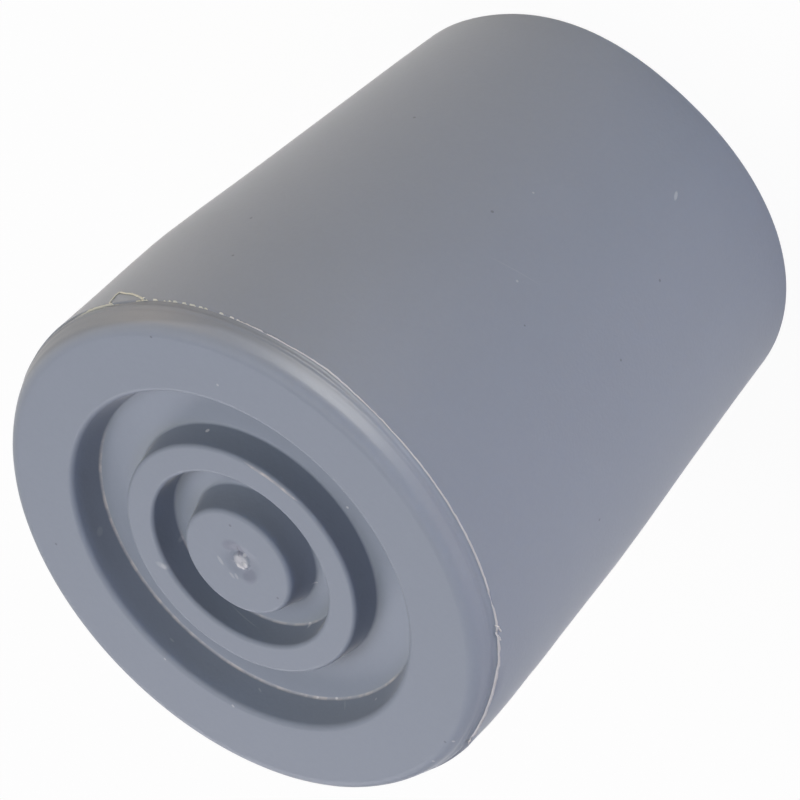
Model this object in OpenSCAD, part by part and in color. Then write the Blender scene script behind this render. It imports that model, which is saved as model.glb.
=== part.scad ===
// Rubber tip for the foot of a cane or crutch: one moulded piece.
// It stands on the rim of its mouth with the tread up. The whole form, apart
// from the gate mark, is one section turned about Z, in millimetres.

/* [Overall] */
// Height from the rim of the mouth to the tread
tip_h = 41.7; // [35:0.1:60]
// Diameter of the tread's half of the moulding, at the parting line
tread_d = 38.1; // [36:0.1:46]
// Outer diameter at the rim of the mouth
mouth_d = 31.8; // [26:0.1:37]
// Rounding of the mouth's outer edge
mouth_edge_r = 0.4; // [0.1:0.1:1.5]

/* [Foot band] */
// Height of the nearly straight band, down from the tread
band_h = 12.3; // [6:0.1:18]
// Diameter at the end of the band, where the taper of the body starts
band_d = 37.5; // [34:0.1:39.5]
// Radius that blends the band into the tapered body
band_blend_r = 40; // [5:1:80]

/* [Tread edge] */
// Width of the slanted edge between the side and the tread
bevel_w = 0.75; // [0.4:0.01:1.2]
// Height of that edge, down from the tread
bevel_h = 1.7; // [1.2:0.01:1.9]
// Rounding between the slanted edge and the side
bevel_side_r = 1; // [0.1:0.1:1.2]
// Rounding between the slanted edge and the tread
bevel_tread_r = 0.7; // [0.1:0.1:1]

/* [Parting line] */
// Distance of the mould's parting line from the tread
parting_drop = 2; // [2:0.01:5]
// How far the body's half stands out past the tread's half at the parting line
mould_step = 0.12; // [0:0.01:0.3]
// How far the line of flash stands out from the body's half
flash_proud = 0.13; // [0:0.01:0.3]
// Thickness of the line of flash at its root
flash_w = 0.16; // [0.05:0.01:0.4]

/* [Tread recess] */
// Diameter of the round recess, at the tread
recess_d = 26.7; // [23.5:0.1:33]
// Depth of the recess, the same inside and outside the ring
recess_depth = 2.25; // [1:0.05:4]
// Draft of the recess's outer wall, in degrees
recess_draft = 16.8; // [2:0.1:20]

/* [Tread ring] */
// Outer diameter of the ring, at its crest
ring_d = 17.9; // [16:0.1:20]
// Inner diameter of the ring, at its crest
ring_bore_d = 14; // [12.6:0.1:15]
// How far the ring's crest lies below the tread
ring_drop = 0.15; // [0:0.05:0.5]
// Draft of the ring's two walls, in degrees
ring_draft = 11.6; // [2:0.1:16]

/* [Tread boss] */
// Diameter of the boss in the middle, at its crest
boss_d = 8.4; // [5:0.1:9.5]
// Draft of the boss's wall, in degrees
boss_draft = 14; // [2:0.1:16]

/* [Tread rounding] */
// Rounding of the edges at the crests
crest_r = 0.35; // [0.05:0.05:0.5]
// Rounding of the corners at the floors
root_r = 0.2; // [0.05:0.05:0.4]

/* [Gate mark] */
// Diameter of the dimple in the boss, where the rubber was injected
gate_d = 3; // [1:0.1:4]
// Depth of the dimple
gate_depth = 0.22; // [0.05:0.01:0.5]
// Diameter of the torn stub in the dimple
stub_d = 0.8; // [0.3:0.1:1.4]

/* [Shaft bore] */
// Diameter of the bore at its gripping lands, for a 22 mm shaft
bore_d = 21.6; // [14:0.1:25]
// Thickness of the solid rubber between the bore's floor and the tread
pad_h = 11.7; // [5:0.1:14]
// Width of the slanted lead-in at the mouth
lead_in = 0.9; // [0.2:0.1:1.5]
// Rounding of the corner at the bore's floor
bore_root_r = 1.2; // [0.2:0.1:2.5]

/* [Grip of the bore] */
// Number of relief rings in the wall of the bore
relief_count = 4; // [1:1:5]
// Depth of the relief rings into the wall
relief_depth = 0.4; // [0.1:0.05:0.6]
// Height of the first gripping land's end above the rim of the mouth
first_land_end = 3.4; // [3:0.1:5]
// Height of each gripping land between two relief rings
land_w = 1.8; // [1:0.1:2.5]
// Height of the plain stretch at the floor, where the shaft's end is held
seat_h = 7.6; // [4:0.1:10]

/* [Hidden] */

// Facets of the turned solid
$fn = 180;
// Degrees of arc between two points of a rounded corner
arc_step = 7.5;
// Grey rubber
grey_rubber = [0.51, 0.54, 0.60];

recess_floor_z = tip_h - recess_depth;
ring_crest_z = tip_h - ring_drop;
parting_z = tip_h - parting_drop;

bore_depth = tip_h - pad_h;
bore_r = bore_d / 2;
relief_r = bore_r + relief_depth;

// The relief rings share what the lands leave between the two end stretches
relief_zone = bore_depth - seat_h - first_land_end;
relief_w = (relief_zone - (relief_count - 1) * land_w) / relief_count;

// Radius of the body's half at the parting line, where the tip is widest
foot_r = tread_d / 2 + mould_step;
// Slope of the band's side, from its end up to the parting line
band_slope = (foot_r - band_d / 2) / (band_h - parting_drop);

// ---- section helpers ----

// Points on the rounding of one corner b, between its neighbours a and c.
// The radius gives way where a side is too short for it.
function corner(a, b, c, r) =
    let (
        u = (a - b) / norm(a - b),
        v = (c - b) / norm(c - b),
        half = acos(u * v) / 2,
        room = 0.98 * min(norm(a - b), norm(c - b)),
        reach = min(r / tan(half), room),
        radius = reach * tan(half),
        centre = b + (u + v) / norm(u + v) * radius / sin(half),
        from = b + u * reach - centre,
        turn = 180 - 2 * half,
        way = sign(u.x * v.y - u.y * v.x),
        steps = max(2, ceil(turn / arc_step))
    )
    [for (i = [0 : steps])
        let (t = -way * turn * i / steps)
        centre + [from.x * cos(t) - from.y * sin(t),
                  from.x * sin(t) + from.y * cos(t)]];

// A closed outline from corners written as [radius, height, rounding]
function rounded(path) =
    let (n = len(path), at = [for (p = path) [p.x, p.y]])
    [for (i = [0 : n - 1])
        for (q = path[i].z > 0
                ? corner(at[(i + n - 1) % n], at[i], at[(i + 1) % n], path[i].z)
                : [at[i]]) q];

// How far a drafted wall steps out over the height h
function draft(angle, h) = h * tan(angle);

// ---- stretches of the section, from the axis of the tread round to the bore ----

boss_path = [
    [0, tip_h, 0],
    [boss_d / 2, tip_h, crest_r],
    [boss_d / 2 + draft(boss_draft, recess_depth), recess_floor_z, root_r]
];

ring_height = recess_depth - ring_drop;
ring_path = [
    [ring_bore_d / 2 - draft(ring_draft, ring_height), recess_floor_z, root_r],
    [ring_bore_d / 2, ring_crest_z, crest_r],
    [ring_d / 2, ring_crest_z, crest_r],
    [ring_d / 2 + draft(ring_draft, ring_height), recess_floor_z, root_r]
];

recess_path = [
    [recess_d / 2 - draft(recess_draft, recess_depth), recess_floor_z, root_r],
    [recess_d / 2, tip_h, crest_r]
];

side_path = [
    [tread_d / 2 - bevel_w, tip_h, bevel_tread_r],
    [tread_d / 2, tip_h - bevel_h, bevel_side_r],
    [tread_d / 2, parting_z, 0],
    [foot_r + flash_proud, parting_z - flash_w / 2, 0],
    [foot_r - band_slope * flash_w, parting_z - flash_w, 0],
    [band_d / 2, tip_h - band_h, band_blend_r],
    [mouth_d / 2, 0, mouth_edge_r]
];

// A relief ring is a shallow trapezium with 45 degree flanks
function relief_ring(i) =
    let (z = first_land_end + i * (relief_w + land_w))
    [
        [bore_r, z, 0],
        [relief_r, z + relief_depth, 0],
        [relief_r, z + relief_w - relief_depth, 0],
        [bore_r, z + relief_w, 0]
    ];

bore_path = concat(
    [
        [bore_r + lead_in, 0, 0],
        [bore_r, 2 * lead_in, 0]
    ],
    [for (i = [0 : relief_count - 1]) each relief_ring(i)],
    [
        [bore_r, bore_depth, bore_root_r],
        [0, bore_depth, 0]
    ]
);

section = rounded(concat(boss_path, ring_path, recess_path, side_path, bore_path));

// ---- sub-parts ----

// Shallow round dimple with the torn stub of the gate left standing in it
module gate_mark() {
    dimple_r = (gate_d * gate_d / 4 + gate_depth * gate_depth) / (2 * gate_depth);
    difference() {
        translate([0, 0, tip_h - gate_depth + dimple_r])
            sphere(r = dimple_r);
        translate([0, 0, tip_h - 2 * gate_depth])
            cylinder(d1 = 1.3 * stub_d, d2 = stub_d, h = 1.8 * gate_depth);
    }
}

module rubber_tip() {
    color(grey_rubber)
        difference() {
            rotate_extrude()
                polygon(section);
            gate_mark();
        }
}

rubber_tip();
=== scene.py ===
"""A rubber tip for the foot of a cane, standing on the rim of its mouth with the tread up."""

from math import acos, atan2, ceil, cos, degrees, exp, pi, radians, sin, tan

import bpy
from mathutils import Matrix, Vector, noise


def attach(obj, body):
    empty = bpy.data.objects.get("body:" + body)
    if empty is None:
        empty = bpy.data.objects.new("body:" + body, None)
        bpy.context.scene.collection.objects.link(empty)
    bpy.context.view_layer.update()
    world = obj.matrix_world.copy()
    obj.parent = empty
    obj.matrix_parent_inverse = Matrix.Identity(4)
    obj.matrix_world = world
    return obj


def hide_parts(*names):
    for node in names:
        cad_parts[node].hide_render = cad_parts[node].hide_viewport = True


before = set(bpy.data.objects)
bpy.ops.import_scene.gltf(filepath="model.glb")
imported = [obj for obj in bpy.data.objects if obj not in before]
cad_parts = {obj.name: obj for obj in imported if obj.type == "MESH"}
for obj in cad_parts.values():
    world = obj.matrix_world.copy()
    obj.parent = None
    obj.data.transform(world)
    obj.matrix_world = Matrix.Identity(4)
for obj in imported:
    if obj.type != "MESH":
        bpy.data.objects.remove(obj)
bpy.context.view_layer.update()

# ---------------------------------------------------------------------------
# The tip: one injection moulding in satin grey rubber, gated in the middle of
# the boss. It is one turned section, and each point of it is then moved a
# little, because the real moulding isn't quite round or even.
# ---------------------------------------------------------------------------

mm = 0.001
turn_steps = 288                # faces round the tip
arc_step = radians(11)          # turn between two points of a rounding
hold = 0.014                    # distance of the holding edge beside a rounding
most_of_side = 0.98             # share of the shorter neighbour that a rounding may take up

tip_h = 41.7
edge_r = 18.35                  # the tread's edge, before its rounding
neck_r, neck_top, neck_end = 18.86, tip_h - 1.15, tip_h - 1.45
ridge_r, ridge_z = 19.05, tip_h - 1.68
parting_drop = 2.0              # from the tread down to where the mould's two halves meet
parting_z = tip_h - parting_drop
parting_r = 18.98               # bottom of the nick between the two halves
foot_r = 19.16                  # the body's half, at the parting line
band_h, band_r = 12.3, 18.75    # the nearly straight band: its depth from the tread, radius at its lower end
mouth_r = 15.9
floor_z = tip_h - 2.25          # floor of the recess
ring_z = tip_h - 0.15           # crest of the ring
recess_r, recess_foot_r = 13.36, 12.62
ring_out_r, ring_out_foot_r = 9.05, 9.42
ring_in_r, ring_in_foot_r = 6.95, 6.62
boss_r, boss_foot_r = 4.14, 4.76
floor_rounding = 0.2            # where a wall meets the recess floor
bore_r, bore_top = 10.8, 30.0
lead_in = 0.9                   # slant at the bore's mouth
relief, relief_w = 0.4, 3.4     # depth and width of the relief rings in the bore
relief_start, relief_pitch, relief_count = 3.4, 5.2, 4
relief_rounding = 0.1
gate_r = 2.0                    # the gate mark lies within this radius
slant_r = 18.0                  # the tread's face ends about here, and its slanted edge begins
outer_r = 17.0                  # what lies further out than this, down to worked_h, is the outside
worked_h = 14.0


def rounded_corner(before, at, after, radius):
    """Points on the rounding of one corner of the section, with a holding point on each side."""
    u, v = (before - at).normalized(), (after - at).normalized()
    half = acos(u.dot(v)) / 2
    room = most_of_side * min((before - at).length, (after - at).length)
    reach = min(radius / tan(half), room)
    radius = reach * tan(half)
    centre = at + (u + v).normalized() * radius / sin(half)
    start = at + u * reach - centre
    turn = pi - 2 * half
    way = -1 if u.x * v.y > u.y * v.x else 1
    in_bore = lead_in < at.y < bore_top and at.x < bore_r + lead_in
    steps = 1 if in_bore else max(2, ceil(turn / arc_step))     # a plain bevel does in the bore
    points = [at + u * (reach + hold)] if reach + hold < room else []
    for i in range(steps + 1):
        t = way * turn * i / steps
        turned = Vector((start.x * cos(t) - start.y * sin(t), start.x * sin(t) + start.y * cos(t)))
        points.append(centre + turned)
    if reach + hold < room:
        points.append(at + v * (reach + hold))
    return points


def section_points(corners):
    """The section as points from corners written as (radius, height, rounding)."""
    at = [Vector(c[:2]) for c in corners]
    points = []
    for i, (r, z, radius) in enumerate(corners):
        if radius and 0 < i < len(corners) - 1:
            points += rounded_corner(at[i - 1], at[i], at[i + 1], radius)
        else:
            points.append(at[i])
    return points


def divided(points, longest):
    """The same line of points with no step longer than longest(r, z) says."""
    out = [points[0]]
    for a, b in zip(points, points[1:]):
        n = max(1, ceil((b - a).length / longest((a.x + b.x) / 2, (a.y + b.y) / 2)))
        out += [a.lerp(b, (i + 1) / n) for i in range(n)]
    return out


# From the middle of the tread round the outside to the floor of the bore: radius, height, rounding
corners = [
    (0, tip_h, 0), (boss_r, tip_h, 0.35), (boss_foot_r, floor_z, floor_rounding),
    (ring_in_foot_r, floor_z, floor_rounding), (ring_in_r, ring_z, 0.3), (ring_out_r, ring_z, 0.3),
    (ring_out_foot_r, floor_z, floor_rounding), (recess_foot_r, floor_z, floor_rounding),
    (recess_r, tip_h, 0.45), (edge_r, tip_h, 1.0),
    (neck_r, neck_top, 0.7), (neck_r + 0.01, neck_end, 0.3), (ridge_r, ridge_z, 0.25),
    (parting_r, parting_z + 0.03, 0), (parting_r, parting_z - 0.02, 0),
    (foot_r, parting_z - 0.07, 0.05), (band_r, tip_h - band_h, 40), (mouth_r, 0, 0.4),
    (bore_r + lead_in, 0, 0.1), (bore_r, 2 * lead_in, 0.15),
]
for i in range(relief_count):
    z = relief_start + i * relief_pitch
    ring = [(bore_r, z), (bore_r + relief, z + relief), (bore_r + relief, z + relief_w - relief),
            (bore_r, z + relief_w)]
    corners += [(*corner, relief_rounding) for corner in ring]
corners += [(bore_r, bore_top, 1.2), (0, bore_top, 0)]


def longest_step(r, z):
    """Longest step along the section: short where the surface is worked afterwards."""
    if z > tip_h - 0.01 and r < gate_r:
        return 0.05             # the gate mark
    if z > ridge_z and r > slant_r:
        return 0.1              # the unevenly filled neck
    if z > tip_h - worked_h and r > outer_r:
        return 1.2              # the band, which follows the parting line
    return 4.0


section = divided(section_points(corners), longest_step)
# The points of the outside, without the ridge, nick and step at the parting line
side = [p for p in section if p.x > outer_r and (ridge_z < p.y or parting_z - 0.15 > p.y > tip_h - worked_h)]


def lathe(name, section, steps, place):
    """A closed mesh turned from a section whose two ends lie on the axis."""
    verts, faces = [place(0.0, section[0].y, 0.0)], []
    rows = section[1:-1]
    for p in rows:
        for i in range(steps):
            verts.append(place(p.x, p.y, 2 * pi * i / steps))
    verts.append(place(0.0, section[-1].y, 0.0))
    last = len(verts) - 1
    for i in range(steps):
        j = (i + 1) % steps
        faces.append((0, 1 + i, 1 + j))
        for k in range(len(rows) - 1):
            a, b = 1 + k * steps, 1 + (k + 1) * steps
            faces.append((a + i, b + i, b + j, a + j))
        top = 1 + (len(rows) - 1) * steps
        faces.append((top + i, last, top + j))
    mesh = bpy.data.meshes.new(name)
    mesh.from_pydata(verts, [], faces)
    mesh.validate()
    mesh.shade_smooth()
    piece = bpy.data.objects.new(name, mesh)
    bpy.context.scene.collection.objects.link(piece)
    return piece


# How far the outside stands off the true section, by height, on the +X and the -X side.
# The two halves of the mould don't quite line up, so it jumps at the parting line.
plus_x_side = [
    (0, 0.0), (3, 0.04), (20, 0.02), (27, 0.07), (31, 0.01), (36, -0.054), (39, -0.07),
    (parting_z - 0.02, -0.07), (parting_z - 0.01, -0.05), (40.4, -0.12), (41.2, -0.07), (tip_h, -0.053)]
minus_x_side = [
    (0, -0.04), (9, 0.0), (20, 0.11), (25, 0.0), (29, -0.09), (32, -0.01), (36, 0.086), (39, 0.07),
    (parting_z - 0.02, 0.07), (parting_z - 0.01, -0.06), (40.4, -0.04), (41.2, 0.03), (tip_h, 0.053)]
# The unevenness fades in across the tread's face, between these two radii
face_in_r, face_out_r, face_h = 13.3, 17.7, 3.0
# Real drop of the parting line below the tread, by angle
parting_drops = [
    (0, 2.05), (178, 2.05), (190, 1.15), (197, 1.3), (206, 1.5), (213, 1.68), (225, 1.78), (240, 1.8),
    (262, 1.83), (275, 1.92), (285, 2.04), (300, 1.97), (320, 2.04), (338, 2.0), (360, 2.05)]
# The outside is stretched to follow it between these two drops
stretch_top, stretch_foot = 0.3, 8.0
# How far the tread's edge stands off besides that, by angle, and how far down this reaches
edge_wear = [
    (0, 0.0), (12, 0.04), (24, -0.06), (36, -0.06), (46, 0.03), (90, 0.035), (108, 0.09), (130, 0.095),
    (144, -0.015), (158, -0.14), (176, -0.12), (190, -0.04), (215, 0.0), (318, 0.02), (330, -0.03),
    (346, 0.0), (360, 0.0)]
wear_below = 3.0                # under the parting line
# Two places where the mouth is pushed out of round: angle, width in degrees, amount
mouth_bulges = [(227, 51, 0.39), (304, 35, 0.28)]
mouth_bulge_h = 7.0
# How far the neck above the parting line is filled up, by angle
neck_filled = [
    (0, 0.1), (40, 0.1), (60, 0.03), (100, 0.03), (135, 0.13), (180, 0.13), (197, 0.0), (245, 0.0),
    (285, 0.045), (325, 0.09), (360, 0.1)]
neck_drop, neck_spread = 1.4, 0.26      # its middle below the tread, and how far the filling spreads
# How far the nick is filled up where the flash lies in it, by angle
nick_filled = [
    (0, 0.02), (30, 0.04), (90, 0.1), (110, 0.15), (200, 0.15), (216, 0.12), (226, 0.12), (232, 0.08),
    (296, 0.08), (304, 0.13), (326, 0.13), (333, 0.02), (360, 0.02)]
nick_half = 0.035
# The core pin of the boss stood off the axis, towards +Y; this fades out between two radii
boss_shift, shift_whole_r, shift_gone_r = 0.17, 5.0, 6.4


def eased(t):
    """0 below 0 and 1 above 1, with a soft start and end."""
    t = min(1.0, max(0.0, t))
    return t * t * (3 - 2 * t)


def read_off(table, place):
    """The table's value at a place, eased between its entries."""
    for (start, a), (end, b) in zip(table, table[1:]):
        if place <= end:
            return a + (b - a) * eased((place - start) / (end - start))
    return table[-1][1]


# The gate mark in the boss: a shallow bowl, and in it the torn stub of the sprue
gate_at = Vector((-0.15, -0.15))
bowl_r, bowl_flat_r, bowl_depth = 1.6, 0.7, 0.1
stub_r, stub_h = 0.62, 0.078
stub_soft = 0.3                 # share of its radius over which the stub rises
coarse_tear, fine_tear, tear_h = 0.16, 0.1, 0.03
# The moat beside the stub, deepest towards one side
moat_r, moat_half, moat_depth, moat_side = 0.8, 0.1, 0.07, radians(-38)
# Lobes of the torn stub: place from the gate's centre, radius, height
stub_lobes = [((0.22, -0.1), 0.3, 0.03), ((0.13, -0.7), 0.2, 0.02), ((-0.1, 0.5), 0.24, 0.05),
              ((-0.4, -0.16), 0.25, 0.05), ((-0.38, 0.3), 0.22, 0.04), ((-0.17, -0.03), 0.16, -0.06)]


def torn(off, fineness, layer):
    """Random unevenness of a tear at a place, between about -1 and 1."""
    return noise.noise(Vector((off.x * fineness, off.y * fineness, layer)))


def gate_mark(x, y):
    """Height of the boss's face at a place on it, from the tread's plane."""
    off = Vector((x, y)) - gate_at
    away = off.length
    if away > bowl_r:
        return 0.0
    height = -bowl_depth * eased((bowl_r - away) / (bowl_r - bowl_flat_r))
    edge = away / (stub_r * (1 + coarse_tear * torn(off, 3, 4) + fine_tear * torn(off, 8, 1)))
    height += stub_h * eased((1 + stub_soft / 2 - edge) / stub_soft)
    for lobe_at, lobe_r, lobe_h in stub_lobes:
        height += lobe_h * eased(1.2 - (off - Vector(lobe_at)).length / lobe_r)
    if edge < 1.1:
        height += tear_h * torn(off, 9, 7)
    in_moat = max(0.0, cos(atan2(off.y, off.x) - moat_side)) * exp(-((away - moat_r) / moat_half) ** 2)
    return min(-0.001, height - moat_depth * in_moat)


def hump(angle, centre, width):
    """A smooth hump in an angle, 1 at its centre and 0 from one width away."""
    off = abs((degrees(angle) - centre + 180) % 360 - 180)
    return (1 + cos(pi * min(off / width, 1))) / 2


def side_r(z):
    """Radius of the true section's side at z, for the stretch round the parting line."""
    for a, b in zip(side, side[1:]):
        if a.y >= z >= b.y and a.y > b.y:
            return a.x + (b.x - a.x) * (z - a.y) / (b.y - a.y)
    return side[-1].x


def parting_lift(turn, drop):
    """How far up a place on the side is moved by the stretch that follows the parting line."""
    if drop < parting_drop + 0.01:
        near = (drop - stretch_top) / (parting_drop - stretch_top)
    else:
        near = (stretch_foot - drop) / (stretch_foot - parting_drop)
    return (parting_drop - read_off(parting_drops, turn)) * near


def moulded(r, z, angle):
    """Where a point of the section comes to lie on the real, slightly uneven moulding."""
    turn = degrees(angle) % 360
    drop = tip_h - z
    z_at = z
    on_side = min(1.0, max(0.0, (r - face_in_r) / (face_out_r - face_in_r))) if drop < face_h else 1.0
    if r > outer_r and stretch_top < drop < stretch_foot:
        z_at = z + parting_lift(turn, drop)
        r += side_r(z_at) - side_r(z)
    plus_x = (1 + cos(angle)) / 2
    off = (read_off(plus_x_side, z) * plus_x + read_off(minus_x_side, z) * (1 - plus_x)) * on_side
    fade = max(0.0, 1 - z / mouth_bulge_h) ** 2
    off += sum(amount * hump(angle, centre, width) for centre, width, amount in mouth_bulges) * fade
    if r > slant_r and z > parting_z + 0.1:
        off += read_off(neck_filled, turn) * exp(-((drop - neck_drop) / neck_spread) ** 2)
    if r > slant_r and z > parting_z - wear_below:
        wear_fade = eased(r - slant_r) * eased((z - parting_z + wear_below) / wear_below)
        off += read_off(edge_wear, turn) * wear_fade
    if abs(z - parting_z) < nick_half:
        off += read_off(nick_filled, turn)
    in_recess = z > bore_top + 1 and r < recess_foot_r
    if in_recess:
        off = 0.0               # the ring and the boss are true
    r += off
    x, y = r * cos(angle), r * sin(angle)
    if in_recess:
        y += boss_shift * min(1.0, max(0.0, (shift_gone_r - r) / (shift_gone_r - shift_whole_r)))
    if drop < 0.01 and r < boss_r:
        z_at += gate_mark(x, y)
    return Vector((x * mm, y * mm, min(z_at, tip_h) * mm))


tip = lathe("cane_tip", section, turn_steps, moulded)
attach(tip, "root")
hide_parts("rubber_tip")


class Wire:
    """A socket that takes part in Python arithmetic, and adds Math nodes for it."""

    def __init__(self, tree, socket):
        self.tree, self.socket = tree, socket

    def node(self, kind, settings, values):
        """A node of a kind, with its settings and then the values or links of its sockets."""
        made = self.tree.nodes.new(kind)
        for key, value in settings.items():
            setattr(made, key, value)
        for key, value in values.items():
            socket = made.inputs[key]
            if isinstance(value, Wire):
                self.tree.links.new(value.socket, socket)
            else:
                socket.default_value = value
        return made

    def out(self, kind, settings, values, output=0):
        """One output of such a node, to go on with."""
        return Wire(self.tree, self.node(kind, settings, values).outputs[output])

    def math(self, operation, *values):
        """A Math node on wires and numbers."""
        return self.out("ShaderNodeMath", {"operation": operation}, dict(enumerate(values)))

    def mix(self, share, first, second):
        """The first colour with a share of the second in it."""
        return self.out("ShaderNodeMix", {"data_type": "RGBA"}, {"Factor": share, 6: first, 7: second}, 2)

    def __add__(self, other):
        return self.math("ADD", self, other)

    def __sub__(self, other):
        return self.math("SUBTRACT", self, other)

    def __mul__(self, other):
        return self.math("MULTIPLY", self, other)

    def __rsub__(self, other):
        return self.math("SUBTRACT", other, self)

    __radd__, __rmul__ = __add__, __mul__


def new_material(name):
    """An empty material, and the wire that its nodes are made with."""
    material = bpy.data.materials.new(name)
    material.use_nodes = True
    tree = material.node_tree
    tree.nodes.clear()
    return material, Wire(tree, None)


rubber_colour = (0.268, 0.302, 0.352)
lighter, darker = (tuple(c * shade for c in rubber_colour) + (1,) for shade in (1.05, 0.95))
# The second of these colours is painted shade, for the bowl of the gate mark.
# The third of these colours is painted shade, for one side of the tread's slanted edge.
speck, gate_bowl_shade_colour, slant_shade_colour = (0.12, 0.125, 0.14, 1), (0.16, 0.17, 0.22, 1), (0.12, 0.13, 0.14, 1)
# The first of these is the colour of the pale lines along edges, one of which is a painted highlight.
pale_line_colour, chalk = (0.62, 0.58, 0.54, 1), (0.66, 0.66, 0.66, 1)

rubber, w = new_material("satin_grey_rubber")
place = w.out("ShaderNodeTexCoord", {}, {}, "Object")
mottle = w.out("ShaderNodeTexNoise", {}, {"Vector": place, "Scale": 180.0, "Detail": 4.0, "Roughness": 0.6})
dusting = w.out("ShaderNodeTexNoise", {}, {"Vector": place, "Scale": 2600.0, "Detail": 3.0, "Roughness": 0.6})
grain = w.out("ShaderNodeTexNoise", {}, {"Vector": place, "Scale": 4200.0, "Detail": 2.0})


def on_tread(x, y, drop=0.0):
    """A place on the tread's side and the way its surface faces."""
    return Vector((x, y, tip_h - drop)), Vector((0, 0, 1))


def on_wall(x, y, drop):
    """A place on a wall of the recess, ring or boss and the way it faces."""
    return Vector((x, y, tip_h - drop)), Vector((x, y, 0)).normalized()


def on_body(angle, z):
    """A place on the body's outside and the way its surface faces."""
    a = radians(angle)
    band_z = tip_h - band_h
    r = band_r - (band_r - mouth_r) * max(0.0, band_z - z) / band_z
    return Vector((r * cos(a), r * sin(a), z)), Vector((cos(a), sin(a), 0))


mark_reach = 0.6                # how far a mark reaches into the rubber
mark_gone, mark_whole = 1.25, 0.6       # it fades between these shares of its half length and width


def mark(at, length, width, turn, strength):
    """A soft-edged oval mark; turn is the angle of its long axis from level, in degrees."""
    spot, up = at
    facing_out = up.to_track_quat("Z", "Y" if abs(up.z) < 0.5 else "X")
    level = facing_out @ Matrix.Rotation(radians(turn), 4, "Z").to_quaternion()
    local = w.out("ShaderNodeMapping", {"vector_type": "TEXTURE"}, {
        "Vector": place, "Location": spot * mm, "Rotation": level.to_euler(),
        "Scale": (length * mm / 2, width * mm / 2, mark_reach * mm)})
    away = w.out("ShaderNodeVectorMath", {"operation": "LENGTH"}, {0: local}, "Value")
    return w.out("ShaderNodeMapRange", {"interpolation_type": "SMOOTHSTEP"}, {
        "Value": away, "From Min": mark_gone, "From Max": mark_whole, "To Min": 0.0, "To Max": strength})


def marks(where, rows):
    """A mark for each row: its place, length, width, turn and strength."""
    return [mark(where(*at), *form) for at, *form in rows]


def dots(where, rows, strength):
    """A round mark for each row: its place, which takes up all but the last number, and its width."""
    return [mark(where(*at), across, across, 0, strength) for *at, across in rows]


def together(masks):
    """The strongest of the masks at each place."""
    total = masks[0]
    for one in masks[1:]:
        total = total.math("MAXIMUM", total, one)
    return total


def ramp_mask(value, start, full):
    """0 at start and 1 at full, eased between."""
    return w.out("ShaderNodeMapRange", {"interpolation_type": "SMOOTHSTEP"}, {
        "Value": value, "From Min": start, "From Max": full})


def band_mask(value, start, full, wane, end):
    """1 from full to wane and 0 before start and after end, all in millimetres."""
    return ramp_mask(value, start * mm, full * mm) * ramp_mask(value, end * mm, wane * mm)


# Where a place lies on the tip: from the axis, below the tread, and towards one side
outside_r = 19.0                # roughly the radius of the tip's outside
parts = w.node("ShaderNodeSeparateXYZ", {}, {0: place})
far_x, far_y, far_z = (Wire(w.tree, parts.outputs[i]) for i in range(3))
from_axis = w.math("SQRT", far_x * far_x + far_y * far_y)
below = tip_h * mm - far_z


def towards(angle, r):
    """1 at radius r on the side towards an angle, 0 square to it and -1 opposite."""
    a = radians(angle)
    return (far_x * cos(a) + far_y * sin(a)) * (1 / (r * mm))


# Thin pale lines along edges: two at the feet of the recess wall and the ring's inner wall, and one a painted
# highlight on the ring's crest. Each has a radius, its drop from and to, angle of its middle, degrees that it
# runs to either side, strength
pale_and_glint_edges = [(12.6, 2.1, 2.4, 100, 86, 0.6), (6.62, 2.1, 2.4, 112, 62, 0.4), (8.88, 0.1, 0.3, 284, 12, 0.8)]
line_core, line_edge, line_fade = 0.04, 0.13, 0.05
patch_noise = w.out("ShaderNodeTexNoise", {}, {"Vector": place, "Scale": 1500.0, "Detail": 2.0})
line_patches = 0.35 + 0.65 * ramp_mask(patch_noise, 0.4, 0.65)


def pale_edge_line(r, top, foot, middle, run, strength):
    """A thin pale line round the axis at a radius, between two drops, broken up in patches."""
    end = cos(radians(run))
    line = (band_mask(from_axis, r - line_edge, r - line_core, r + line_core, r + line_edge)
            * band_mask(below, top - line_fade, top + line_fade, foot - line_fade, foot + line_fade))
    along = ramp_mask(towards(middle, r), end - 0.1 * (1 - end), end + 0.2 * (1 - end))
    return line * along * line_patches * strength


pale_and_glint_lines = together([pale_edge_line(*edge) for edge in pale_and_glint_edges])
# Painted shade on the slanted edge on one side, down to the parting line. Its upper end lies
# the lower the further round it is, by the slope, and down to the lowest at most.
slant_shade_slope, slant_shade_lowest, slant_shade_strength = 4.0, 1.05, 0.38
slant_shade_side = towards(-12, outside_r)
slant_shade_top = w.math("MINIMUM", (1 - slant_shade_side) * (slant_shade_slope * mm), slant_shade_lowest * mm)
slant_shade = (ramp_mask(from_axis, slant_r * mm, 18.5 * mm) * ramp_mask(below - slant_shade_top, -0.15 * mm, 0.3 * mm)
         * ramp_mask(below, 2.15 * mm, parting_drop * mm) * ramp_mask(slant_shade_side, 0.1, 0.6) * slant_shade_strength)
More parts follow.
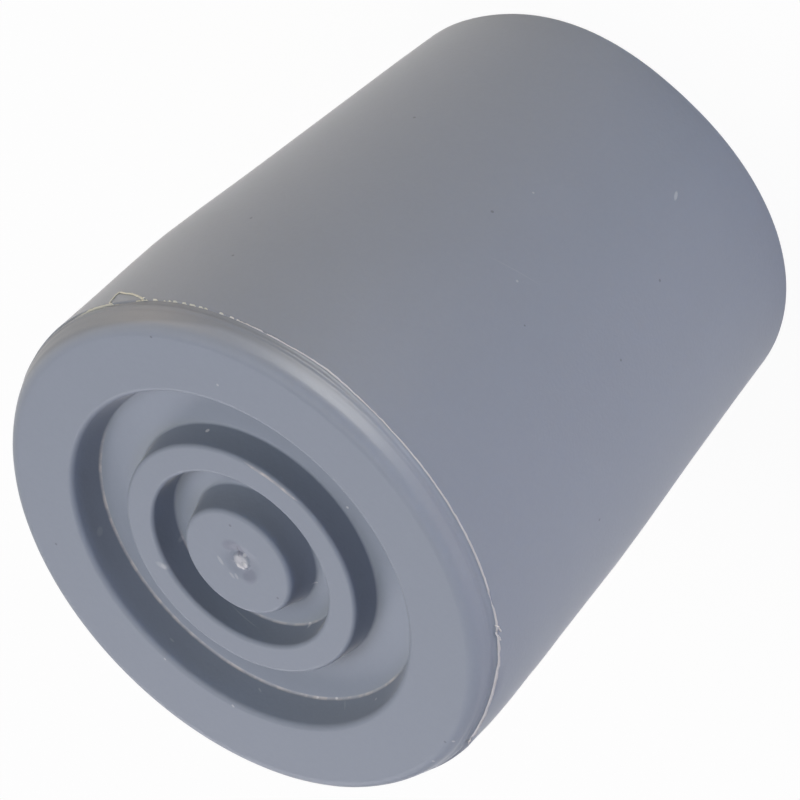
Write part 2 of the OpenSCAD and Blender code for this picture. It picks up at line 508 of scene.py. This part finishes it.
# Specks of dirt pressed into the skin, and pits that hold some
dark_marks = together(
    dots(on_body, [
        (283.9, 19.98, 0.24), (315.5, 14.75, 0.22), (323.7, 29.48, 0.2), (318.4, 33.81, 0.2),
        (241.8, 19.94, 0.2), (247.2, 12.9, 0.22), (216.8, 26.88, 0.2), (262.5, 25.5, 0.15),
        (40.0, 21.0, 0.22), (118.0, 9.5, 0.2)], 0.6)
    + dots(on_tread, [
        (2.02, -2.18, 0.22), (-3.5, -0.2, 0.2), (14.09, -10.67, 0.2), (-17.78, -1.93, 0.2),
        (9.4, 13.1, 0.2)], 0.55)
    + marks(on_tread, [((0.5, -0.75), 0.85, 0.12, 132, 0.55), ((0.2, -1.05), 0.3, 0.14, 10, 0.45)]))
# Painted shade in the bowl of the gate mark: on two sides of the stub, and faintly over the whole bowl
gate_bowl_shade = together(marks(on_tread, [
    ((1.05, -0.65), 1.0, 1.5, 150, 0.24), ((0.45, -0.85), 1.2, 0.7, 130, 0.3),
    ((-1.2, 0.3), 1.1, 1.5, 0, 0.2), ((-0.1, -0.3), 2.8, 2.8, 0, 0.07)]))
# Dust, scuffs and the pale torn rubber of the stub
pale_marks = together(
    marks(on_tread, [
        ((-0.15, -0.17), 1.15, 1.15, 0, 0.5), ((0.08, -0.25), 0.6, 0.5, 0, 0.6),
        ((-0.24, 0.3), 0.5, 0.35, 0, 0.85), ((-0.5, -0.2), 0.4, 0.5, 0, 0.8),
        ((-0.01, -0.86), 0.3, 0.3, 0, 0.4), ((-0.5, 0.17), 0.35, 0.3, 0, 0.85),
        ((0.88, 1.3), 0.75, 0.28, 158, 0.25), ((-0.35, 1.58), 0.55, 0.24, 170, 0.2),
        ((-0.6, 1.3), 0.5, 0.22, 150, 0.22), ((3.35, 6.53, 0.2), 1.0, 0.5, 30, 0.2),
        ((3.25, 6.5, 0.2), 0.55, 0.4, 30, 0.4), ((8.88, -12.04), 0.2, 0.2, 0, 0.4),
        ((-18.13, -2.4), 0.2, 0.2, 0, 0.6), ((-18.2, 0.65), 0.2, 0.2, 0, 0.5),
        ((-2.54, -9.52, 2.25), 0.2, 0.2, 0, 0.7), ((-4.54, -1.35, 2.25), 0.3, 0.13, 40, 0.6),
        ((-1.11, 13.67), 0.22, 0.14, 0, 0.5), ((-6.5, 11.99, 0.1), 0.25, 0.16, 0, 0.5),
        ((-10.04, 7.6, 2.2), 0.24, 0.14, 60, 0.7), ((-10.95, 6.17, 2.2), 0.26, 0.16, 60, 0.8),
        ((-6.22, 2.26, 2.2), 0.36, 0.2, 60, 0.6), ((3.72, 5.5, 2.15), 0.4, 0.14, 140, 0.3)])
    + marks(on_wall, [
        ((7.38, -5.67, 1.58), 0.32, 0.3, 0, 1.0), ((7.90, 10.26, 1.22), 0.7, 0.45, 20, 0.17),
        ((7.96, 10.2, 1.15), 0.24, 0.18, 0, 0.2), ((-12.73, 2.03, 1.42), 0.26, 0.2, 40, 0.5),
        ((-0.55, 13.01, 1.03), 0.4, 0.12, 0, 0.25), ((-7.02, 10.74, 1.58), 0.4, 0.12, 30, 0.25),
        ((-11.63, 5.34, 1.7), 0.9, 0.1, 60, 0.2), ((-2.85, 6.0, 1.54), 2.6, 0.09, 12, 0.25)])
    + marks(on_body, [
        ((257.8, 7.1), 0.75, 0.28, 115, 0.4), ((280.8, 16.3), 0.18, 0.18, 0, 0.3),
        ((269.9, 23.3), 0.2, 0.2, 0, 0.3), ((271.5, 22.7), 4.0, 0.07, 20, 0.08)]))
colour = w.mix(mottle * 0.5 + dusting * 0.5, darker, lighter)
# Painted shade in the gate mark's bowl
colour = w.mix(gate_bowl_shade * 2.0, colour, gate_bowl_shade_colour)
# Painted shade on one side of the slanted edge, down to the parting line
colour = w.mix(slant_shade, colour, slant_shade_colour)
# Pale lines at the feet of the walls, and a painted highlight along the ring's crest
colour = w.mix(pale_and_glint_lines, colour, pale_line_colour)
colour = w.mix(pale_marks, colour, chalk)
colour = w.mix(dark_marks, colour, speck)
bump = w.out("ShaderNodeBump", {}, {"Height": grain, "Strength": 0.25, "Distance": 0.00004})
skin = w.out("ShaderNodeBsdfPrincipled", {}, {
    "Base Color": colour, "Roughness": 0.46 + mottle * 0.06, "Specular IOR Level": 0.25,
    "Sheen Weight": 0.3, "Sheen Roughness": 0.2, "Normal": bump})
w.node("ShaderNodeOutputMaterial", {}, {"Surface": skin})
tip.data.materials.append(rubber)

# ---------------------------------------------------------------------------
# The flash: a thin skin of rubber that squeezed out between the mould's two
# halves and was torn off roughly. It runs round the parting line as a low
# ragged fin, with one strand that came loose and two short hairs.
# ---------------------------------------------------------------------------

fin_steps = 1600
fin_tatters = 60                # fineness of its raggedness
fin_root = parting_r - 0.04     # the fin stands in the nick at the parting line
fin_below = 0.045               # its middle lies this far under the parting line
fin_half = 0.042                # half of its thickness
fin_least, fin_most = -0.2, 0.03        # how far it stands out where it is torn off, and where it is whole
lip, lip_share = 0.025, 0.4     # its lip gets thinner to this share over this length

# How much of the fin is left, by angle
fin_left = [
    (0, 0.1), (6, 0.0), (40, 0.0), (50, 0.5), (75, 0.3), (90, 0.6), (99, 0.4), (100, 0.0), (183.5, 0.0),
    (184, 0.3), (187, 0.7), (190, 0.9), (217.6, 1.0), (218, 0.4), (219, 0.4), (219.6, 1.0), (224.6, 0.9),
    (225.4, 0.3), (228, 0.35), (229, 0.9), (243, 1.0), (252, 0.85), (262, 0.9), (266, 0.55), (274, 0.6),
    (279, 1.0), (284, 0.9), (292, 0.6), (300, 0.75), (301.6, 0.6), (303.5, 0.5), (304.2, 0.1),
    (336.4, 0.1), (336.8, 1.0), (341.5, 0.95), (346, 0.5), (350, 0.1), (360, 0.1)]
# Bits of it that stayed on where the rest is gone: angle, half of the width in degrees, how much is left
torn_bits = [
    (304.5, 0.35, 0.6), (305.95, 0.5, 0.75), (308.3, 0.4, 0.83), (312.1, 0.35, 0.68), (313.3, 0.35, 0.68),
    (315.3, 0.6, 0.68), (317.4, 0.45, 0.68), (319.6, 0.55, 0.75), (321.0, 0.25, 0.68), (322.3, 0.3, 0.45),
    (324.7, 0.5, 0.75), (327.5, 0.8, 0.83), (329.3, 0.6, 0.6)]
# Extra thickness where the skin peeled off in a wider strip
fin_wider = [
    (0, 0.0), (183, 0.0), (187, 0.03), (191, 0.02), (194, 0.0), (204, 0.0), (208, 0.012), (214, 0.0),
    (302, 0.0), (304, -0.016), (330, -0.016), (334, 0.0), (360, 0.0)]
# The loose strand and the two hairs: radius, and course as (angle, drop below the tread)
strands = [
    (0.08, [(337.2, 2.0), (337.73, 2.41), (338.1, 2.79), (338.29, 3.2), (337.84, 3.39), (335.85, 3.12),
            (334.3, 2.97), (332.85, 2.85), (331.1, 2.6), (329.82, 2.42), (328.49, 2.21), (327.24, 2.02)]),
    (0.065, [(220.6, 1.66), (219.41, 1.89), (218.1, 2.1)]),
    (0.065, [(218.9, 1.62), (217.5, 1.72), (216.2, 1.97)]),
]
strand_lift = 0.045             # a strand's middle lies this far off the skin
strand_sides, strand_flat = 7, 0.8      # points round a strand, and its height as a share of its width
strand_end = 0.5                # it narrows to this share at its ends
path_steps = 5                  # steps of a strand between two points of its course

flash_verts, flash_faces = [], []


def straight_off(table, at):
    """The table's value at a place, on straight lines between its entries."""
    for (start, a), (end, b) in zip(table, table[1:]):
        if at <= end:
            return a + (b - a) * (at - start) / (end - start)
    return table[-1][1]


def ringed(rings, closed):
    """Faces between rings of as many points each, closed to a loop or capped at the ends."""
    base, n, count = len(flash_verts), len(rings[0]), len(rings)
    for ring in rings:
        flash_verts.extend(ring)
    for k in range(count if closed else count - 1):
        a, b = base + k * n, base + (k + 1) % count * n
        for i in range(n):
            j = (i + 1) % n
            flash_faces.append((a + i, a + j, b + j, b + i))
    if not closed:
        flash_faces.append(tuple(base + i for i in reversed(range(n))))
        flash_faces.append(tuple(base + (count - 1) * n + i for i in range(n)))


def swing(along, fineness, row, amount):
    """A random swing of up to an amount that goes round the tip without a seam."""
    return amount * noise.noise(along * fineness + Vector(row))


fin = []
for i in range(fin_steps):
    angle = 360 * i / fin_steps
    along = Vector((cos(radians(angle)), sin(radians(angle)), 0)) * fin_tatters
    left = straight_off(fin_left, angle) * (0.85 + swing(along, 0.45, (7, 0, 0), 0.3))
    left += swing(along, 1, (0, 0, 0), 0.12)
    left = max([left] + [much for at, half_w, much in torn_bits if abs(angle - at) < half_w])
    out = foot_r + fin_least + (fin_most - fin_least) * min(1.1, max(0.0, left))
    half = fin_half * (1 + swing(along, 0.8, (0, 0, 9), 0.35)) + straight_off(fin_wider, angle)
    mid = parting_z - fin_below + swing(along, 0.3, (0, 5, 0), 0.012)
    ring = [(fin_root, mid + 0.02), (out - lip, mid + half), (out, mid + lip_share * half),
            (out, mid - lip_share * half), (out - lip, mid - half), (fin_root, mid - 0.02)]
    fin.append([moulded(r, z, radians(angle)) for r, z in ring])
ringed(fin, True)


def off_side(angle, drop, out):
    """A point that stands out from the side's skin, at a true drop below the tread."""
    lift = parting_drop - read_off(parting_drops, angle)
    z = tip_h - drop - lift * (stretch_foot - drop) / (stretch_foot - parting_drop)
    skin_r = foot_r + (band_r - foot_r) * (parting_z - z) / (parting_z - tip_h + band_h)
    return moulded(skin_r + out, z, radians(angle))


def eased_path(places, steps):
    """A smooth path of (angle, drop) places through the given ones."""
    given = [Vector(at) for at in places]
    given = [2 * given[0] - given[1]] + given + [2 * given[-1] - given[-2]]
    path = []
    for p0, p1, p2, p3 in zip(given, given[1:], given[2:], given[3:]):
        for k in range(steps):
            t = k / steps
            path.append(0.5 * (2 * p1 + (p2 - p0) * t + (2 * p0 - 5 * p1 + 4 * p2 - p3) * t * t
                               + (3 * p1 - p0 - 3 * p2 + p3) * t ** 3))
    return path + [given[-2]]


for strand_r, course in strands:
    path = eased_path(course, path_steps)
    rings = []
    for k, (angle, drop) in enumerate(path):
        centre = off_side(angle, drop, strand_lift)
        ahead = path[min(k + 1, len(path) - 1)]
        behind = path[max(k - 1, 0)]
        way = (off_side(*ahead, strand_lift) - off_side(*behind, strand_lift)).normalized()
        up = (off_side(angle, drop, 1.0) - centre).normalized()
        across = way.cross(up).normalized()
        here_r = strand_r * (0.9 + 0.4 * noise.noise(Vector((angle * 1.7, drop * 3, 0))))
        if k in (0, len(path) - 1):
            here_r *= strand_end
        turns = (2 * pi * i / strand_sides for i in range(strand_sides))
        rings.append([centre + (across * cos(t) + up * sin(t) * strand_flat) * here_r * mm for t in turns])
    ringed(rings, False)

flash_mesh = bpy.data.meshes.new("parting_flash")
flash_mesh.from_pydata(flash_verts, [], flash_faces)
flash_mesh.validate()
flash_mesh.shade_smooth()
flash = bpy.data.objects.new("parting_flash", flash_mesh)
bpy.context.scene.collection.objects.link(flash)
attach(flash, "root")

pale, dull, yellow = (0.68, 0.67, 0.66, 1), (0.5, 0.5, 0.51, 1), (0.54, 0.55, 0.48, 1)
yellowed_way = Vector((0.88, -0.47, 0))

torn_skin, w = new_material("torn_pale_flash")
place = w.out("ShaderNodeTexCoord", {}, {}, "Object")
patches = w.out("ShaderNodeTexNoise", {}, {"Vector": place, "Scale": 450.0, "Detail": 2.0})
that_way = w.out("ShaderNodeVectorMath", {"operation": "DOT_PRODUCT"}, {
    0: place, 1: yellowed_way / (outside_r * mm)}, "Value")
yellowed = w.out("ShaderNodeMapRange", {}, {"Value": that_way, "From Min": 0.85, "From Max": 0.95})
colour = w.mix(yellowed, w.mix(patches, pale, dull), yellow)
skin = w.out("ShaderNodeBsdfPrincipled", {}, {"Base Color": colour, "Roughness": 0.55})
w.node("ShaderNodeOutputMaterial", {}, {"Surface": skin})
flash_mesh.materials.append(torn_skin)

# ---------------------------------------------------------------------------
# The stage: a pale floor under the rim, and the white behind it.
# ---------------------------------------------------------------------------

floor_half = 3.0
floor_corners = [(x * floor_half, y * floor_half, 0) for x, y in ((-1, -1), (1, -1), (1, 1), (-1, 1))]
floor_mesh = bpy.data.meshes.new("floor")
floor_mesh.from_pydata(floor_corners, [], [(0, 1, 2, 3)])
floor = bpy.data.objects.new("floor", floor_mesh)
bpy.context.scene.collection.objects.link(floor)


def seen(w, gloss):
    """1 for what the camera sees, straight or through something clear, and a share of it in gloss."""
    path = w.node("ShaderNodeLightPath", {}, {})
    camera_ray, glossy_ray, clear_ray = (Wire(w.tree, path.outputs[name]) for name in (
        "Is Camera Ray", "Is Glossy Ray", "Is Transmission Ray"))
    return w.math("MAXIMUM", camera_ray, w.math("MAXIMUM", glossy_ray * gloss, clear_ray))


paper, w = new_material("pale_floor")
matt = w.out("ShaderNodeBsdfDiffuse", {}, {"Color": (0.8, 0.8, 0.8, 1)})
glow = w.out("ShaderNodeEmission", {}, {"Color": (1, 1, 1, 1), "Strength": 1.0})
# A little of the matt paper stays, for the tip's shadow
surface = w.out("ShaderNodeMixShader", {}, {0: seen(w, 1.0) * 0.95, 1: matt, 2: glow})
w.node("ShaderNodeOutputMaterial", {}, {"Surface": surface})
floor_mesh.materials.append(paper)

world = bpy.data.worlds.new("white_room")
world.use_nodes = True
bpy.context.scene.world = world
world.node_tree.nodes.clear()
w = Wire(world.node_tree, None)
sky = w.out("ShaderNodeBackground", {}, {"Color": (1, 1, 1, 1), "Strength": seen(w, 0.25)})
w.node("ShaderNodeOutputWorld", {}, {"Surface": sky})

# ---------------------------------------------------------------------------
# The lamps: soft boxes hung round the tip and strips that stand on the floor,
# all out of the camera's sight.
# ---------------------------------------------------------------------------

aim = Vector((0, 0, 24 * mm))
strip_w = 0.04                  # a strip's short side, in metres as all sizes of the lamps
strip_middle = Vector((0, 0, 0.021))
soft_box_away, strip_away = 0.75, 0.3


def hang(name, azimuth, elevation, away, centre, size, power, colour):
    """An area lamp that looks at a place; azimuth 0 is the camera's side (-Y) and 90 is +X."""
    a, e = radians(azimuth), radians(elevation)
    way = Vector((sin(a) * cos(e), -cos(a) * cos(e), sin(e)))
    light = bpy.data.lights.new(name, "AREA")
    light.shape = "RECTANGLE"
    light.size, light.size_y = size
    light.energy, light.color = power, colour
    lamp = bpy.data.objects.new(name, light)
    lamp.location = centre + way * away
    lamp.rotation_mode = "QUATERNION"
    lamp.rotation_quaternion = way.to_track_quat("Z", "Y")
    lamp.visible_camera = False
    bpy.context.scene.collection.objects.link(lamp)
    return lamp


def soft_box(name, azimuth, elevation, side_w, power, colour, away=soft_box_away):
    """A square lamp that looks at the tip's middle."""
    return hang(name, azimuth, elevation, away, aim, (side_w, side_w), power, colour)


def strip(name, azimuth, length, power, colour):
    """A low strip lamp that reaches no higher than the tread."""
    return hang(name, azimuth, 0, strip_away, strip_middle, (length, strip_w), power, colour)


soft_box("overhead", 0, 88, 0.3, 1.86, (1, 0.92, 0.73))
soft_box("high_left", 60, 64, 0.3, 1.14, (0.82, 0.90, 1))
soft_box("high_back_left", 120, 64, 0.3, 1.28, (0.97, 0.91, 1))
soft_box("high_right", 300, 64, 0.3, 0.87, (0.53, 0.58, 1))
soft_box("back", 190, 22, 0.3, 1.60, (0.96, 0.93, 1))
soft_box("low_right", 290, 4, 0.12, 0.36, (0.7, 0.74, 1), away=0.6)
soft_box("low_front_right", 340, 4, 0.12, 0.45, (0.43, 0.62, 1), away=0.6)
strip("strip_left", 90, 0.12, 0.34, (1, 0.78, 0.54))
strip("strip_front_right", 318, 0.12, 0.28, (0.98, 0.84, 0.74))
# This one only glints along the tread's edge
glint = strip("edge_glint", 16, 0.24, 3.0, (1, 0.97, 0.92))
glint.visible_diffuse = False

# ---------------------------------------------------------------------------
# The camera: a long lens that looks down on the tread, rolled over.
# ---------------------------------------------------------------------------

lens = bpy.data.cameras.new("long_lens")
lens.sensor_width, lens.lens = 36, 360
lens.clip_start, lens.clip_end = 0.01, 10
camera_at = Vector((-0.07, -421.69, 347.63)) * mm
tilt, roll = radians(52.403), radians(-135.22)
camera = bpy.data.objects.new("long_lens", lens)
camera.matrix_world = (
    Matrix.Translation(camera_at) @ Matrix.Rotation(tilt, 4, "X") @ Matrix.Rotation(roll, 4, "Z"))
bpy.context.scene.collection.objects.link(camera)
bpy.context.scene.camera = camera
bpy.context.scene.view_settings.view_transform = "Standard"
